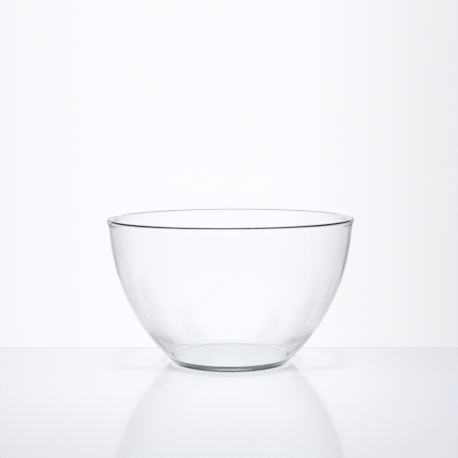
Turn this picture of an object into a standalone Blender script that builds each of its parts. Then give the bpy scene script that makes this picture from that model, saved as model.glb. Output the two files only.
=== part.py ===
"""A round glass dish: flat base, long curved flaring wall, fire-polished rim.

Metres, +Z up. The origin is the centre of the underside, which stands on Z = 0.
The dish is one piece of glass, so it is one object: a closed outline turned about the Z axis.
An outline point is (r, z): its distance from the axis and its height.
"""

import math

import bpy

# Whole dish
RIM_RADIUS = 0.100  # outermost point of the rim
HEIGHT = 0.117  # crest of the rim

# Rim, thickened by fire polishing: a rounded outside, a narrow crest, then a flat slope that
# falls inwards to a rounded inside. Directions are of the surface's normal, from +r towards +z.
RIM_OUT_RADIUS = 0.0019
RIM_OUT_BULGE = 0.0006  # how far it stands out from the lip's outer face
CREST_RADIUS = 0.0009
CREST_START = math.radians(50)
SLOPE_NORMAL = math.radians(127)
RIM_IN_RADIUS = 0.0026
RIM_IN_BULGE = 0.0006  # how far it stands in from the lip's inner face
RIM_FILLET = 0.0120  # long hollow that blends each bulge into the lip

# Straight lip under the rim
LIP_LEAN = math.radians(5.6)  # outward lean from vertical
LIP_DROP = 0.013  # from the centre of the rim's outer round to the lower end of the lip
LIP_THICKNESS = 0.0022

# Outside of the base
BASE_RADIUS = 0.0457  # flat underside
HEEL_RADIUS = 0.0043

# Inside of the base
BASE_THICKNESS = 0.0038
FLOOR_RADIUS = 0.0446  # flat floor of the hollow
FLOOR_CORNER_RADIUS = 0.0080

# Fineness
TURN_STEPS = 72
WALL_STEPS = 11
RIM_STEPS = 4
CREST_STEPS = 3
FILLET_STEPS = 3
CORNER_STEPS = 4
AXIS_MERGE = 0.00005

GLASS_COLOUR = (0.95, 0.975, 0.97, 1.0)
GLASS_IOR = 1.473
GLASS_ROUGHNESS = 0.02

QUARTER_TURN = math.pi / 2


def clear_scene():
    for obj in list(bpy.data.objects):
        bpy.data.objects.remove(obj, do_unlink=True)


def on_circle(centre, radius, angle):
    return (centre[0] + radius * math.cos(angle), centre[1] + radius * math.sin(angle))


def arc(centre, radius, start, end, steps):
    """Points along an arc, both ends included. Angles run from +r towards +z."""
    return [
        on_circle(centre, radius, start + (end - start) * i / steps)
        for i in range(steps + 1)
    ]


def across_lip(point):
    """How far a point lies outwards, measured square to the lip's faces."""
    return point[0] * math.cos(LIP_LEAN) - point[1] * math.sin(LIP_LEAN)


def outer_round_centre():
    """The crest's arc touches the outer round inside it at CREST_START and tops out at HEIGHT."""
    step = RIM_OUT_RADIUS - CREST_RADIUS
    return (
        RIM_RADIUS - RIM_OUT_RADIUS,
        HEIGHT - CREST_RADIUS - step * math.sin(CREST_START),
    )


def crest_centre():
    return on_circle(outer_round_centre(), RIM_OUT_RADIUS - CREST_RADIUS, CREST_START)


def inner_round_centre():
    """Both arcs touch the slope, so the centre lies on a line along the slope.

    How far down that line it lies follows from the inner round's bulge over the lip's face.
    """
    outer_face = across_lip(outer_round_centre()) + RIM_OUT_RADIUS - RIM_OUT_BULGE
    inner_face = outer_face - LIP_THICKNESS
    wanted = inner_face - RIM_IN_BULGE + RIM_IN_RADIUS
    start = on_circle(crest_centre(), CREST_RADIUS - RIM_IN_RADIUS, SLOPE_NORMAL)
    down_slope = SLOPE_NORMAL + QUARTER_TURN
    per_length = across_lip(on_circle((0, 0), 1, down_slope))
    return on_circle(start, (wanted - across_lip(start)) / per_length, down_slope)


def fillet_turn(radius, bulge):
    """Turn of the hollow that brings a round standing out by the bulge back to the lip's face."""
    return math.acos(1 - bulge / (radius + RIM_FILLET))


def inner_rim():
    """Up the inside: the hollow out of the lip's inner face, then the inner round."""
    face = math.pi - LIP_LEAN
    turn = fillet_turn(RIM_IN_RADIUS, RIM_IN_BULGE)
    round_centre = inner_round_centre()
    hollow_centre = on_circle(round_centre, RIM_IN_RADIUS + RIM_FILLET, face + turn)
    hollow = arc(hollow_centre, RIM_FILLET, face - math.pi, face + turn - math.pi, FILLET_STEPS)
    swelling = arc(round_centre, RIM_IN_RADIUS, face + turn, SLOPE_NORMAL, RIM_STEPS)
    return hollow + swelling[1:]


def outer_rim():
    """Down the outside: the outer round, then the hollow into the lip's outer face."""
    face = -LIP_LEAN
    turn = fillet_turn(RIM_OUT_RADIUS, RIM_OUT_BULGE)
    round_centre = outer_round_centre()
    hollow_centre = on_circle(round_centre, RIM_OUT_RADIUS + RIM_FILLET, face - turn)
    swelling = arc(round_centre, RIM_OUT_RADIUS, CREST_START, face - turn, RIM_STEPS)
    hollow = arc(hollow_centre, RIM_FILLET, face - turn + math.pi, face + math.pi, FILLET_STEPS)
    return swelling + hollow[1:]


def crest():
    return arc(crest_centre(), CREST_RADIUS, SLOPE_NORMAL, CREST_START, CREST_STEPS)


def lip_end(side):
    """Lower end of the lip's face: side is +1 for the outer face, -1 for the inner one."""
    offset = RIM_OUT_RADIUS - RIM_OUT_BULGE
    if side < 0:
        offset -= LIP_THICKNESS
    down = on_circle(outer_round_centre(), LIP_DROP, -QUARTER_TURN - LIP_LEAN)
    return on_circle(down, offset, -LIP_LEAN)


def wall(side, corner_centre, corner_radius):
    """Arc that leaves the lip smoothly, meets the corner at the base smoothly, and the corner.

    The wall's circle touches the lip at its lower end, so its centre lies on the line across
    the lip there. It also holds the corner's circle and touches it, so the two centres are
    the difference of the radii apart. Those two rules give the radius.
    """
    top = lip_end(side)
    dr = corner_centre[0] - top[0]
    dz = corner_centre[1] - top[1]
    across = dr * math.cos(LIP_LEAN) - dz * math.sin(LIP_LEAN)
    radius = (corner_radius**2 - dr**2 - dz**2) / (2 * (across + corner_radius))
    centre = (
        top[0] - radius * math.cos(LIP_LEAN),
        top[1] + radius * math.sin(LIP_LEAN),
    )
    meeting = math.atan2(corner_centre[1] - centre[1], corner_centre[0] - centre[0])
    upper = arc(centre, radius, -LIP_LEAN, meeting, WALL_STEPS)
    corner = arc(corner_centre, corner_radius, meeting, -QUARTER_TURN, CORNER_STEPS)
    return upper + corner[1:]


def dish_outline():
    """From the middle of the floor, up the inside, over the rim, down the outside to the middle."""
    floor_corner = (FLOOR_RADIUS, BASE_THICKNESS + FLOOR_CORNER_RADIUS)
    heel = (BASE_RADIUS, HEEL_RADIUS)
    inside = wall(-1, floor_corner, FLOOR_CORNER_RADIUS)[::-1] + inner_rim()
    outside = outer_rim()[1:] + wall(1, heel, HEEL_RADIUS)
    return [(0, BASE_THICKNESS)] + inside + crest() + outside + [(0, 0)]


def glass_material():
    material = bpy.data.materials.new("clear_glass")
    material.use_nodes = True
    shader = material.node_tree.nodes["Principled BSDF"]
    shader.inputs["Base Color"].default_value = GLASS_COLOUR
    shader.inputs["Roughness"].default_value = GLASS_ROUGHNESS
    shader.inputs["Metallic"].default_value = 0.0
    shader.inputs["IOR"].default_value = GLASS_IOR
    shader.inputs["Transmission Weight"].default_value = 1.0
    return material


def turned(name, outline, material):
    """An object whose outline, drawn on the +X side, is turned all the way round the Z axis."""
    mesh = bpy.data.meshes.new(name)
    points = [(r, 0, z) for r, z in outline]
    mesh.from_pydata(points, [(i, i + 1) for i in range(len(points) - 1)], [])
    mesh.materials.append(material)
    obj = bpy.data.objects.new(name, mesh)
    bpy.context.scene.collection.objects.link(obj)
    screw = obj.modifiers.new("turn", "SCREW")
    screw.axis = "Z"
    screw.angle = math.tau
    screw.steps = TURN_STEPS
    screw.render_steps = TURN_STEPS
    screw.use_merge_vertices = True
    screw.merge_threshold = AXIS_MERGE
    screw.use_smooth_shade = True
    return obj


def main():
    clear_scene()
    turned("glass_dish", dish_outline(), glass_material())


main()
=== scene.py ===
"""Looks of the round glass dish: fine glass surface, studio floor, light and camera.

Metres, +Z up. The dish stands on Z = 0 with its axis on Z, and the camera looks along +Y.
An outline point is (r, z): its distance from the axis and its height. Lights and shades are
fractions of full white.
"""

import math

import bpy
import numpy as np
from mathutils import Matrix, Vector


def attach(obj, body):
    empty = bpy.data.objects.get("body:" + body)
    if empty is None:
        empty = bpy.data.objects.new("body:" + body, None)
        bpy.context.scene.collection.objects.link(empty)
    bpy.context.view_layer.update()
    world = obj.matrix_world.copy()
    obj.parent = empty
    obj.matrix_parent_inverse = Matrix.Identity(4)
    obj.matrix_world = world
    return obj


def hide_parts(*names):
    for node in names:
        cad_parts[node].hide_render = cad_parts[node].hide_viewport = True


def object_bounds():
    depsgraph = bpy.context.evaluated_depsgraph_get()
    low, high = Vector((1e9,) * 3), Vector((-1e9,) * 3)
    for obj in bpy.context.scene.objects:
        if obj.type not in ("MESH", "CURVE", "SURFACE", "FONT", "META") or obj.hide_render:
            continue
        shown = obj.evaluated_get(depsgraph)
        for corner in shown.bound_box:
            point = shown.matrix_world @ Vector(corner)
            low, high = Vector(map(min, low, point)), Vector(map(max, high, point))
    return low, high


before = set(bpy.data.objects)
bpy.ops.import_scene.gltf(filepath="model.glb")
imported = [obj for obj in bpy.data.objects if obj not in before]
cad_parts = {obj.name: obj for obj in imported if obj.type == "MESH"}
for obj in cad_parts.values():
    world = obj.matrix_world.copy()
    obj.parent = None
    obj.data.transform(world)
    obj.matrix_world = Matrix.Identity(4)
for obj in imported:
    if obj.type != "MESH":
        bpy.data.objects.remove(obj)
CAD_BOX = [list(corner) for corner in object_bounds()]

# Whole dish, from the CAD box
RIM_RADIUS = (CAD_BOX[1][0] - CAD_BOX[0][0]) / 2
HEIGHT = CAD_BOX[1][2]

# Rim, thickened by fire polishing: a rounded outside, a narrow crest, then a flat slope that
# falls inwards to a rounded inside. Directions are of the surface's normal, from +r towards +z.
RIM_OUT_RADIUS = 0.0019
RIM_OUT_BULGE = 0.0006  # how far it stands out from the lip's outer face
CREST_RADIUS = 0.0009
CREST_START = math.radians(50)
SLOPE_NORMAL = math.radians(127)
RIM_IN_RADIUS = 0.0026
RIM_IN_BULGE = 0.0006  # how far it stands in from the lip's inner face
RIM_FILLET = 0.0120  # long hollow that blends each bulge into the lip
RIM_TILT = 0.0053  # rise of the slightly uneven rim per metre towards +X

# Straight lip under the rim
LIP_LEAN = math.radians(5.6)  # outward lean from vertical
LIP_DROP = 0.013  # from the centre of the rim's outer round to the lower end of the lip
LIP_THICKNESS = 0.0022

# Outside of the base
BASE_RADIUS = 0.0457  # flat underside
HEEL_RADIUS = 0.0043

# Inside of the base
BASE_THICKNESS = 0.0038
FLOOR_RADIUS = 0.0446  # flat floor of the hollow
FLOOR_CORNER_RADIUS = 0.0080

# Fineness
TURN_STEPS = 288
WALL_STEPS = 56
RIM_STEPS = 16
FILLET_STEPS = 12
FLOOR_CORNER_STEPS = 16
HEEL_STEPS = 14

QUARTER_TURN = math.pi / 2
WHITE = (1, 1, 1, 1)

# The range that most of a noise texture's values lie in
NOISE_LOW = 0.3
NOISE_HIGH = 0.7

# Glass, with a faint tint that shows where light runs a long way through it
GLASS_IOR = 1.473
DEPTH_COLOUR = (0.48, 0.62, 0.70, 1)
DEPTH_DENSITY = 7.0

# Soft waves from forming
WAVE_SCALE = 45.0
WAVE_DETAIL = 1.0
WAVE_HEIGHT = 0.00002

# Scuffs on the foot, which rubs on tables
FOOT_FULL = 0.000125  # full wear up to this height
FOOT_TOP = 0.0005  # no wear above this height
SCUFF_SCALE = 900.0
SCUFF_DETAIL = 4.0
SCUFF_FROM = 0.52
SCUFF_TO = 0.68
SCUFF_ROUGHNESS = 0.10
SCUFF_DEPTH = 0.000005

# Faint film that varies the gloss
FILM_SCALE = 60.0
FILM_DETAIL = 3.0
FILM_FROM = 0.45
FILM_TO = 0.75
FILM_ROUGHNESS = 0.003

# Tints of the light: straight from behind the dish, and from beside it
TINT = (0.968, 0.977, 1.0)
COOL_TINT = (0.925, 0.925, 1.0)

# Floor: a satin table, and a pale sweep that runs on behind the table's edge. Both have light
# of their own and a sheen.
FLOOR_HALF_SIZE = 6.0
FLOOR_DROP = 0.0002  # below the dish's underside
TABLE_EDGE = 0.045
SEAM_WIDTH = 0.0016
SEAM_LIGHT = 0.60
SHEEN_IOR = 1.5

# Table's own light: a little darker near the dish, and falling off to the front and sides
TABLE_TINT = (0.945, 0.960, 1.0)
NEAR_RADIUS = 0.052
FAR_RADIUS = 0.11
TABLE_NEAR = 0.94
TABLE_FAR = 1.01
FRONT_FROM = -0.06
FRONT_TO = -0.32
FRONT_FALL = 0.832
ASIDE_FROM = 0.03
ASIDE_TO = 0.22
LEFT_FALL = 0.88
RIGHT_FALL = 0.78

# Table's sheen: its strength over plain gloss, near the dish, away from it and in the foot's shade
SHEEN_COLOUR = (0.955, 0.962, 0.982, 1)
SHEEN_NEAR = 0.5
SHEEN_FAR = 1.2
SHEEN_SHADED = 3.0
TABLE_ROUGHNESS = 0.10

# Painted contact shadow: a dark line on the floor where the heel stands, faint at the back
CONTACT_IN = 0.0442
CONTACT_OUT = 0.0472
CONTACT_FADE = 0.0015
CONTACT_LIGHT = 0.02
CONTACT_BACK_LIGHT = 0.80
CONTACT_FRONT = -0.034
CONTACT_BACK = -0.010

# Soft shade in a ring round the foot, which fades out towards the front
SHADE_FROM = 0.050
SHADE_FULL = 0.062
SHADE_FALLS = 0.078
SHADE_ENDS = 0.108
SHADE_FRONT = -0.055
SHADE_BACK = -0.015
SHADE_LIGHT = 0.70
CLEAR_BEHIND = 0.035  # the sweep has no shade within this of straight behind the dish
CLEAR_ENDS = 0.065  # and its full shade past this

# Sweep's own light, which dims along lines that spread out to both sides behind the dish
SWEEP_LIGHT = 1.0
SWEEP_ORIGIN = 0.35  # how far in front of the dish's axis those lines meet
SWEEP_SPREAD = 0.10  # sideways run per metre where it starts to dim
SWEEP_FALLEN = 0.35  # and where it is at its dimmest
SWEEP_LEFT = 0.74
SWEEP_RIGHT = 0.66

# Sweep's sheen, by its gloss at the angle that it is seen from
SWEEP_SHEEN_FROM = 0.26
SWEEP_SHEEN_TO = 0.33
SWEEP_ROUGHNESS = 0.06

# Detail of the floor: fine grain, broad clouds, and smears in the sheen
GRAIN_SCALE = 900.0
GRAIN_DETAIL = 2.0
GRAIN_LIGHT = 0.985
CLOUD_SCALE = 7.0
CLOUD_DETAIL = 3.0
CLOUD_LIGHT = 0.985
SMEAR_SCALE = 22.0
SMEAR_DETAIL = 3.0
SMEAR_FROM = 0.80
SMEAR_TO = 1.20

# Light round the dish, by direction in degrees. Azimuth 0 is +Y, straight behind the dish, and
# +90 is +X. The light dips on both sides of straight behind and comes back towards the front, -Y.
MAIN_HALF = 11.0
DIP_AT = 25.0
SIDE_FROM = 50.0
HIGH_SIDE_FROM = 75.0
FRONT_AT = 130.0
DIP_LIGHT = 0.60
HIGH_DIP_LIGHT = 0.05
SIDE_LIGHT = 0.66
FRONT_LIGHT = 1.0

# Falls of the low light to the left and right of straight behind
FALL_FROM = 2.0
FALL_TO = 14.0
FALL_LEFT = 0.96
FALL_RIGHT = 0.86
RIGHT_SHADE = 0.84

# Heights at which the low light gives way to the high light, and that to the overhead light
LOW_TOP = 12.0
LOW_END = 17.0
PANEL_TOP = 38.0
PANEL_END = 50.0

# Overhead light, dark above the back and bright above the front
OVERHEAD_BACK = 0.04
OVERHEAD_FRONT = 0.95
OVERHEAD_FROM = 85.0
OVERHEAD_TO = 120.0

# Bounces of light, enough to pass both walls and the base
MAX_BOUNCES = 24
GLOSSY_BOUNCES = 16

# Camera
LENS_MM = 82.53
SENSOR_MM = 36.0
CAMERA_POS = (-0.0012, -0.853, 0.1837)
CAMERA_PITCH = math.radians(5.106)  # downwards


def on_circle(centre, radius, angle):
    return (centre[0] + radius * math.cos(angle), centre[1] + radius * math.sin(angle))


def arc(centre, radius, start, end, steps):
    """Points along an arc, both ends included. Angles run from +r towards +z."""
    return [
        on_circle(centre, radius, start + (end - start) * i / steps)
        for i in range(steps + 1)
    ]


def across_lip(point):
    """How far a point lies outwards, measured square to the lip's faces."""
    return point[0] * math.cos(LIP_LEAN) - point[1] * math.sin(LIP_LEAN)


def outer_round_centre():
    """The crest's arc touches the outer round inside it at CREST_START and tops out at HEIGHT."""
    step = RIM_OUT_RADIUS - CREST_RADIUS
    return (
        RIM_RADIUS - RIM_OUT_RADIUS,
        HEIGHT - CREST_RADIUS - step * math.sin(CREST_START),
    )


def crest_centre():
    return on_circle(outer_round_centre(), RIM_OUT_RADIUS - CREST_RADIUS, CREST_START)


def inner_round_centre():
    """Both arcs touch the slope, so the centre lies on a line along the slope.

    How far down that line it lies follows from the inner round's bulge over the lip's face.
    """
    outer_face = across_lip(outer_round_centre()) + RIM_OUT_RADIUS - RIM_OUT_BULGE
    inner_face = outer_face - LIP_THICKNESS
    wanted = inner_face - RIM_IN_BULGE + RIM_IN_RADIUS
    start = on_circle(crest_centre(), CREST_RADIUS - RIM_IN_RADIUS, SLOPE_NORMAL)
    down_slope = SLOPE_NORMAL + QUARTER_TURN
    per_length = across_lip(on_circle((0, 0), 1, down_slope))
    return on_circle(start, (wanted - across_lip(start)) / per_length, down_slope)


def fillet_turn(radius, bulge):
    """Turn of the hollow that brings a round standing out by the bulge back to the lip's face."""
    return math.acos(1 - bulge / (radius + RIM_FILLET))


def inner_rim():
    """Up the inside: the hollow out of the lip's inner face, then the inner round."""
    face = math.pi - LIP_LEAN
    turn = fillet_turn(RIM_IN_RADIUS, RIM_IN_BULGE)
    round_centre = inner_round_centre()
    hollow_centre = on_circle(round_centre, RIM_IN_RADIUS + RIM_FILLET, face + turn)
    hollow = arc(hollow_centre, RIM_FILLET, face - math.pi, face + turn - math.pi, FILLET_STEPS)
    swelling = arc(round_centre, RIM_IN_RADIUS, face + turn, SLOPE_NORMAL, RIM_STEPS)
    return hollow + swelling[1:]


def crest():
    return arc(crest_centre(), CREST_RADIUS, SLOPE_NORMAL, CREST_START, RIM_STEPS)


def outer_rim():
    """Down the outside: the outer round, then the hollow into the lip's outer face."""
    face = -LIP_LEAN
    turn = fillet_turn(RIM_OUT_RADIUS, RIM_OUT_BULGE)
    round_centre = outer_round_centre()
    hollow_centre = on_circle(round_centre, RIM_OUT_RADIUS + RIM_FILLET, face - turn)
    swelling = arc(round_centre, RIM_OUT_RADIUS, CREST_START, face - turn, RIM_STEPS)
    hollow = arc(hollow_centre, RIM_FILLET, face - turn + math.pi, face + math.pi, FILLET_STEPS)
    return swelling + hollow[1:]


def lip_end(side):
    """Lower end of the lip's face: side is +1 for the outer face, -1 for the inner one."""
    offset = RIM_OUT_RADIUS - RIM_OUT_BULGE
    if side < 0:
        offset -= LIP_THICKNESS
    down = on_circle(outer_round_centre(), LIP_DROP, -QUARTER_TURN - LIP_LEAN)
    return on_circle(down, offset, -LIP_LEAN)


def wall(side, corner_centre, corner_radius, corner_steps):
    """Arc that leaves the lip smoothly, meets the corner at the base smoothly, and the corner.

    The wall's circle touches the lip at its lower end, so its centre lies on the line across
    the lip there. It also holds the corner's circle and touches it, so the two centres are
    the difference of the radii apart. Those two rules give the radius.
    """
    top = lip_end(side)
    dr = corner_centre[0] - top[0]
    dz = corner_centre[1] - top[1]
    across = across_lip((dr, dz))
    radius = (corner_radius**2 - dr**2 - dz**2) / (2 * (across + corner_radius))
    centre = on_circle(top, -radius, -LIP_LEAN)
    meeting = math.atan2(corner_centre[1] - centre[1], corner_centre[0] - centre[0])
    upper = arc(centre, radius, -LIP_LEAN, meeting, WALL_STEPS)
    corner = arc(corner_centre, corner_radius, meeting, -QUARTER_TURN, corner_steps)
    return upper + corner[1:]


def outline():
    """From the edge of the floor, up the inside, over the rim, down to the edge of the underside."""
    floor_corner = (FLOOR_RADIUS, BASE_THICKNESS + FLOOR_CORNER_RADIUS)
    heel = (BASE_RADIUS, HEEL_RADIUS)
    inside = wall(-1, floor_corner, FLOOR_CORNER_RADIUS, FLOOR_CORNER_STEPS)[::-1] + inner_rim()
    outside = outer_rim()[1:] + wall(1, heel, HEEL_RADIUS, HEEL_STEPS)
    return inside + crest() + outside


def ring_faces(rings):
    """Quads between neighbouring rings, and one flat face that closes each end."""
    ring, step = np.meshgrid(np.arange(rings - 1), np.arange(TURN_STEPS), indexing="ij")
    here = ring * TURN_STEPS + step
    beside = ring * TURN_STEPS + (step + 1) % TURN_STEPS
    quads = np.stack([here, here + TURN_STEPS, beside + TURN_STEPS, beside], -1)
    floor_face = list(range(TURN_STEPS))
    underside = list(range((rings - 1) * TURN_STEPS, rings * TURN_STEPS))[::-1]
    return quads.reshape(-1, 4).tolist() + [floor_face, underside]


def glass_mesh(name):
    """The outline turned about Z. The base stays level, and the tilt grows to full at the rim."""
    points = np.array(outline())
    turns = np.arange(TURN_STEPS) * math.tau / TURN_STEPS
    r = points[:, 0][:, None]
    z = points[:, 1][:, None]
    x = r * np.cos(turns)
    y = r * np.sin(turns)
    height = z / HEIGHT
    lift = height * height * (3 - 2 * height)
    places = np.stack([x, y, z + RIM_TILT * x * lift], -1).reshape(-1, 3)
    mesh = bpy.data.meshes.new(name)
    mesh.from_pydata(places.tolist(), [], ring_faces(len(points)))
    mesh.validate()
    mesh.update()
    mesh.shade_smooth()
    return mesh


def plug(nt, value, socket):
    if isinstance(value, (int, float)):
        socket.default_value = value
    else:
        nt.links.new(value, socket)


def calc(nt, operation, *values):
    node = nt.nodes.new("ShaderNodeMath")
    node.operation = operation
    for socket, value in zip(node.inputs, values):
        plug(nt, value, socket)
    return node.outputs[0]


def product(nt, first, *others):
    for other in others:
        first = calc(nt, "MULTIPLY", first, other)
    return first


def blend(nt, factor, low, high):
    """low where the factor is 0, high where it is 1."""
    return calc(nt, "ADD", low, product(nt, factor, calc(nt, "SUBTRACT", high, low)))


def smooth(nt, value, low, high, at_low, at_high):
    """Eases from at_low to at_high as the value goes from low to high, and stays level outside."""
    node = nt.nodes.new("ShaderNodeMapRange")
    node.interpolation_type = "SMOOTHSTEP"
    nt.links.new(value, node.inputs["Value"])
    plug(nt, low, node.inputs["From Min"])
    plug(nt, high, node.inputs["From Max"])
    plug(nt, at_low, node.inputs["To Min"])
    plug(nt, at_high, node.inputs["To Max"])
    return node.outputs[0]


def noise(nt, place, scale, detail):
    node = nt.nodes.new("ShaderNodeTexNoise")
    nt.links.new(place, node.inputs["Vector"])
    node.inputs["Scale"].default_value = scale
    node.inputs["Detail"].default_value = detail
    return node.outputs["Fac"]


def mottle(nt, place, scale, detail, lowest, highest):
    return smooth(nt, noise(nt, place, scale, detail), NOISE_LOW, NOISE_HIGH, lowest, highest)


def bump(nt, height, distance, below=None):
    """Normals for that height, over the normals below if there are any."""
    node = nt.nodes.new("ShaderNodeBump")
    node.inputs["Strength"].default_value = 1.0
    node.inputs["Distance"].default_value = distance
    nt.links.new(height, node.inputs["Height"])
    if below is not None:
        nt.links.new(below, node.inputs["Normal"])
    return node.outputs["Normal"]


def separate(nt, vector):
    node = nt.nodes.new("ShaderNodeSeparateXYZ")
    nt.links.new(vector, node.inputs[0])
    return node.outputs["X"], node.outputs["Y"], node.outputs["Z"]


def scaled(nt, vector, strength):
    node = nt.nodes.new("ShaderNodeVectorMath")
    node.operation = "SCALE"
    if isinstance(vector, tuple):
        node.inputs[0].default_value = vector
    else:
        nt.links.new(vector, node.inputs[0])
    plug(nt, strength, node.inputs["Scale"])
    return node.outputs[0]


def cooled_tint(nt, amount):
    """TINT where the amount is 0, COOL_TINT where it is 1."""
    node = nt.nodes.new("ShaderNodeVectorMath")
    node.operation = "MULTIPLY_ADD"
    nt.links.new(amount, node.inputs[0])
    node.inputs[1].default_value = [cool - plain for plain, cool in zip(TINT, COOL_TINT)]
    node.inputs[2].default_value = TINT
    return node.outputs[0]


def glass_material():
    """Clear glass with soft waves, a faint film, a scuffed foot and a faint tint in its depth."""
    mat = bpy.data.materials.new("clear_glass")
    mat.use_nodes = True
    nt = mat.node_tree
    bsdf = nt.nodes["Principled BSDF"]
    place = nt.nodes.new("ShaderNodeTexCoord").outputs["Object"]
    height = separate(nt, place)[2]
    waves = bump(nt, noise(nt, place, WAVE_SCALE, WAVE_DETAIL), WAVE_HEIGHT)
    foot = smooth(nt, height, FOOT_FULL, FOOT_TOP, 1.0, 0.0)
    scratch = noise(nt, place, SCUFF_SCALE, SCUFF_DETAIL)
    scuffs = product(nt, foot, smooth(nt, scratch, SCUFF_FROM, SCUFF_TO, 0.0, 1.0))
    smudge = noise(nt, place, FILM_SCALE, FILM_DETAIL)
    film = smooth(nt, smudge, FILM_FROM, FILM_TO, 0.0, FILM_ROUGHNESS)
    roughness = calc(nt, "MAXIMUM", film, product(nt, scuffs, SCUFF_ROUGHNESS))
    nt.links.new(roughness, bsdf.inputs["Roughness"])
    nt.links.new(bump(nt, scuffs, SCUFF_DEPTH, waves), bsdf.inputs["Normal"])
    bsdf.inputs["Base Color"].default_value = WHITE
    bsdf.inputs["IOR"].default_value = GLASS_IOR
    bsdf.inputs["Transmission Weight"].default_value = 1.0
    depth = nt.nodes.new("ShaderNodeVolumeAbsorption")
    depth.inputs["Color"].default_value = DEPTH_COLOUR
    depth.inputs["Density"].default_value = DEPTH_DENSITY
    nt.links.new(depth.outputs[0], nt.nodes["Material Output"].inputs["Volume"])
    return mat


def make_dish():
    obj = bpy.data.objects.new("dish_glass", glass_mesh("dish_glass"))
    bpy.context.scene.collection.objects.link(obj)
    obj.data.materials.append(glass_material())
    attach(obj, "root")
    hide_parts("glass_dish")


def low_light(nt, azimuth, aside, around):
    """Light near the horizon, which the wall's sides and the floor's sheen pick up."""
    dip = smooth(nt, aside, MAIN_HALF, DIP_AT, SWEEP_LIGHT, DIP_LIGHT)
    right = smooth(nt, azimuth, FALL_FROM, FALL_TO, 1.0, FALL_RIGHT)
    far_right = smooth(nt, azimuth, FALL_TO, DIP_AT, 1.0, RIGHT_SHADE)
    left = smooth(nt, azimuth, -FALL_TO, -FALL_FROM, FALL_LEFT, 1.0)
    behind = product(nt, dip, right, left, far_right)
    return blend(nt, smooth(nt, aside, DIP_AT, SIDE_FROM, 0.0, 1.0), behind, around)


def high_light(nt, aside, around):
    """Light above that: a bright panel straight behind the dish between two dark gaps."""
    behind = smooth(nt, aside, MAIN_HALF, DIP_AT, SWEEP_LIGHT, HIGH_DIP_LIGHT)
    return blend(nt, smooth(nt, aside, SIDE_FROM, HIGH_SIDE_FROM, 0.0, 1.0), behind, around)


def make_world():
    world = bpy.data.worlds.new("studio")
    bpy.context.scene.world = world
    world.use_nodes = True
    nt = world.node_tree
    x, y, z = separate(nt, nt.nodes.new("ShaderNodeTexCoord").outputs["Generated"])
    azimuth = calc(nt, "DEGREES", calc(nt, "ARCTAN2", x, y))
    aside = calc(nt, "ABSOLUTE", azimuth)
    height = calc(nt, "DEGREES", calc(nt, "ARCSINE", z))
    around = smooth(nt, aside, SIDE_FROM, FRONT_AT, SIDE_LIGHT, FRONT_LIGHT)
    low = low_light(nt, azimuth, aside, around)
    high = high_light(nt, aside, around)
    over = smooth(nt, aside, OVERHEAD_FROM, OVERHEAD_TO, OVERHEAD_BACK, OVERHEAD_FRONT)
    panel = blend(nt, smooth(nt, height, LOW_TOP, LOW_END, 0.0, 1.0), low, high)
    light = blend(nt, smooth(nt, height, PANEL_TOP, PANEL_END, 0.0, 1.0), panel, over)
    off_main = smooth(nt, aside, MAIN_HALF, DIP_AT, 0.0, 1.0)
    off_front = smooth(nt, aside, SIDE_FROM, FRONT_AT, 1.0, 0.0)
    tint = cooled_tint(nt, product(nt, off_main, off_front))
    nt.links.new(scaled(nt, tint, light), nt.nodes["Background"].inputs["Color"])


def foot_shade(nt, y, radius):
    """How much of the soft shade a place has: a ring that fades out towards the front."""
    inner = smooth(nt, radius, SHADE_FROM, SHADE_FULL, 0.0, 1.0)
    outer = smooth(nt, radius, SHADE_FALLS, SHADE_ENDS, 1.0, 0.0)
    return product(nt, inner, outer, smooth(nt, y, SHADE_FRONT, SHADE_BACK, 0.0, 1.0))


def painted_contact_shadow(nt, radius):
    """1 on the narrow ring of painted contact shadow where the heel stands, 0 away from it."""
    inner = smooth(nt, radius, CONTACT_IN - CONTACT_FADE, CONTACT_IN, 0.0, 1.0)
    outer = smooth(nt, radius, CONTACT_OUT, CONTACT_OUT + CONTACT_FADE, 1.0, 0.0)
    return product(nt, inner, outer)


def table_light(nt, x, y, radius, shade):
    open_light = product(
        nt,
        smooth(nt, radius, NEAR_RADIUS, FAR_RADIUS, TABLE_NEAR, TABLE_FAR),
        smooth(nt, y, FRONT_TO, FRONT_FROM, FRONT_FALL, 1.0),
        smooth(nt, x, ASIDE_FROM, ASIDE_TO, 1.0, RIGHT_FALL),
        smooth(nt, x, -ASIDE_TO, -ASIDE_FROM, LEFT_FALL, 1.0),
    )
    light = blend(nt, shade, open_light, SHADE_LIGHT)
    # light of the painted contact shadow: dark in front of the heel, faint at the back
    contact_shadow_light = smooth(nt, y, CONTACT_FRONT, CONTACT_BACK, CONTACT_LIGHT, CONTACT_BACK_LIGHT)
    return blend(nt, painted_contact_shadow(nt, radius), light, contact_shadow_light)


def sweep_light(nt, x, y, shade):
    """Bright straight behind the dish and dimmer to the sides, with the foot's shade on it."""
    to_side = calc(nt, "ABSOLUTE", x)
    spread = calc(nt, "DIVIDE", to_side, calc(nt, "ADD", y, SWEEP_ORIGIN))
    fallen = blend(nt, calc(nt, "GREATER_THAN", x, 0.0), SWEEP_LEFT, SWEEP_RIGHT)
    light = smooth(nt, spread, SWEEP_SPREAD, SWEEP_FALLEN, SWEEP_LIGHT, fallen)
    beside = smooth(nt, to_side, CLEAR_BEHIND, CLEAR_ENDS, 0.0, 1.0)
    return product(nt, light, blend(nt, product(nt, shade, beside), 1.0, SHADE_LIGHT))


def emission(nt, colour):
    node = nt.nodes.new("ShaderNodeEmission")
    nt.links.new(colour, node.inputs["Color"])
    return node.outputs[0]


def gloss(nt, colour, roughness):
    node = nt.nodes.new("ShaderNodeBsdfGlossy")
    node.inputs["Color"].default_value = colour
    nt.links.new(roughness, node.inputs["Roughness"])
    return node.outputs[0]


def gloss_at_angle(nt):
    node = nt.nodes.new("ShaderNodeFresnel")
    node.inputs["IOR"].default_value = SHEEN_IOR
    return node.outputs[0]


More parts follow.
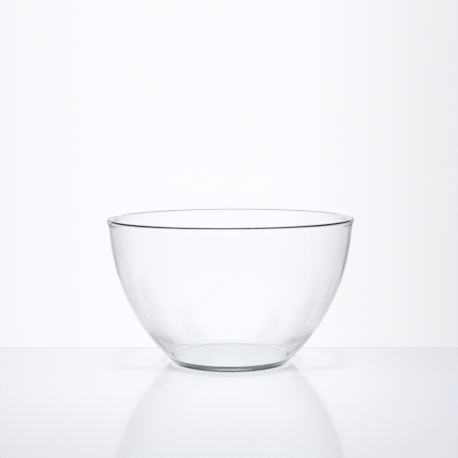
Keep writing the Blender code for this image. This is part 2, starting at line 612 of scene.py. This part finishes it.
def mixed(nt, factor, first, second):
    """The first shader where the factor is 0, the second where it is 1."""
    node = nt.nodes.new("ShaderNodeMixShader")
    for socket, value in zip(node.inputs, (factor, first, second)):
        nt.links.new(value, socket)
    return node.outputs[0]


def floor_material():
    mat = bpy.data.materials.new("floor")
    mat.use_nodes = True
    nt = mat.node_tree
    nt.nodes.remove(nt.nodes["Principled BSDF"])
    place = nt.nodes.new("ShaderNodeNewGeometry").outputs["Position"]
    x, y, _ = separate(nt, place)
    radius = calc(nt, "SQRT", calc(nt, "ADD", product(nt, x, x), product(nt, y, y)))
    shade = foot_shade(nt, y, radius)
    grain = mottle(nt, place, GRAIN_SCALE, GRAIN_DETAIL, GRAIN_LIGHT, 1.0)
    cloud = mottle(nt, place, CLOUD_SCALE, CLOUD_DETAIL, CLOUD_LIGHT, 1.0)
    smear = mottle(nt, place, SMEAR_SCALE, SMEAR_DETAIL, SMEAR_FROM, SMEAR_TO)
    angle = gloss_at_angle(nt)

    table_own = product(nt, table_light(nt, x, y, radius, shade), grain, cloud)
    strength = smooth(nt, radius, NEAR_RADIUS, FAR_RADIUS, SHEEN_NEAR, SHEEN_FAR)
    strength = blend(nt, shade, strength, SHEEN_SHADED)
    table = mixed(
        nt,
        calc(nt, "MINIMUM", product(nt, angle, strength), 1.0),
        emission(nt, scaled(nt, TABLE_TINT, table_own)),
        gloss(nt, SHEEN_COLOUR, product(nt, smear, TABLE_ROUGHNESS)),
    )

    sweep_own = product(nt, sweep_light(nt, x, y, shade), grain, cloud)
    sweep = mixed(
        nt,
        smooth(nt, angle, SWEEP_SHEEN_FROM, SWEEP_SHEEN_TO, 0.0, 1.0),
        emission(nt, scaled(nt, TINT, sweep_own)),
        gloss(nt, WHITE, product(nt, smear, SWEEP_ROUGHNESS)),
    )

    seam = emission(nt, scaled(nt, TINT, SEAM_LIGHT))
    surface = mixed(nt, calc(nt, "GREATER_THAN", y, TABLE_EDGE), table, sweep)
    on_seam = calc(nt, "COMPARE", y, TABLE_EDGE + SEAM_WIDTH / 2, SEAM_WIDTH / 2)
    surface = mixed(nt, on_seam, surface, seam)
    nt.links.new(surface, nt.nodes["Material Output"].inputs["Surface"])
    return mat


def make_floor():
    half = FLOOR_HALF_SIZE
    corners = [(-half, -half, 0), (half, -half, 0), (half, half, 0), (-half, half, 0)]
    mesh = bpy.data.meshes.new("floor")
    mesh.from_pydata(corners, [], [(0, 1, 2, 3)])
    mesh.materials.append(floor_material())
    obj = bpy.data.objects.new("floor", mesh)
    obj.location.z = -FLOOR_DROP
    bpy.context.scene.collection.objects.link(obj)


def make_camera():
    cam = bpy.data.cameras.new("camera")
    cam.sensor_width = SENSOR_MM
    cam.lens = LENS_MM
    obj = bpy.data.objects.new("camera", cam)
    obj.location = CAMERA_POS
    obj.rotation_euler = (QUARTER_TURN - CAMERA_PITCH, 0, 0)
    bpy.context.scene.collection.objects.link(obj)
    bpy.context.scene.camera = obj


def set_rendering():
    """Plain display colours, and the bounces of light."""
    scene = bpy.context.scene
    scene.view_settings.view_transform = "Standard"
    scene.cycles.max_bounces = MAX_BOUNCES
    scene.cycles.transmission_bounces = MAX_BOUNCES
    scene.cycles.glossy_bounces = GLOSSY_BOUNCES


make_dish()
make_world()
make_floor()
make_camera()
set_rendering()
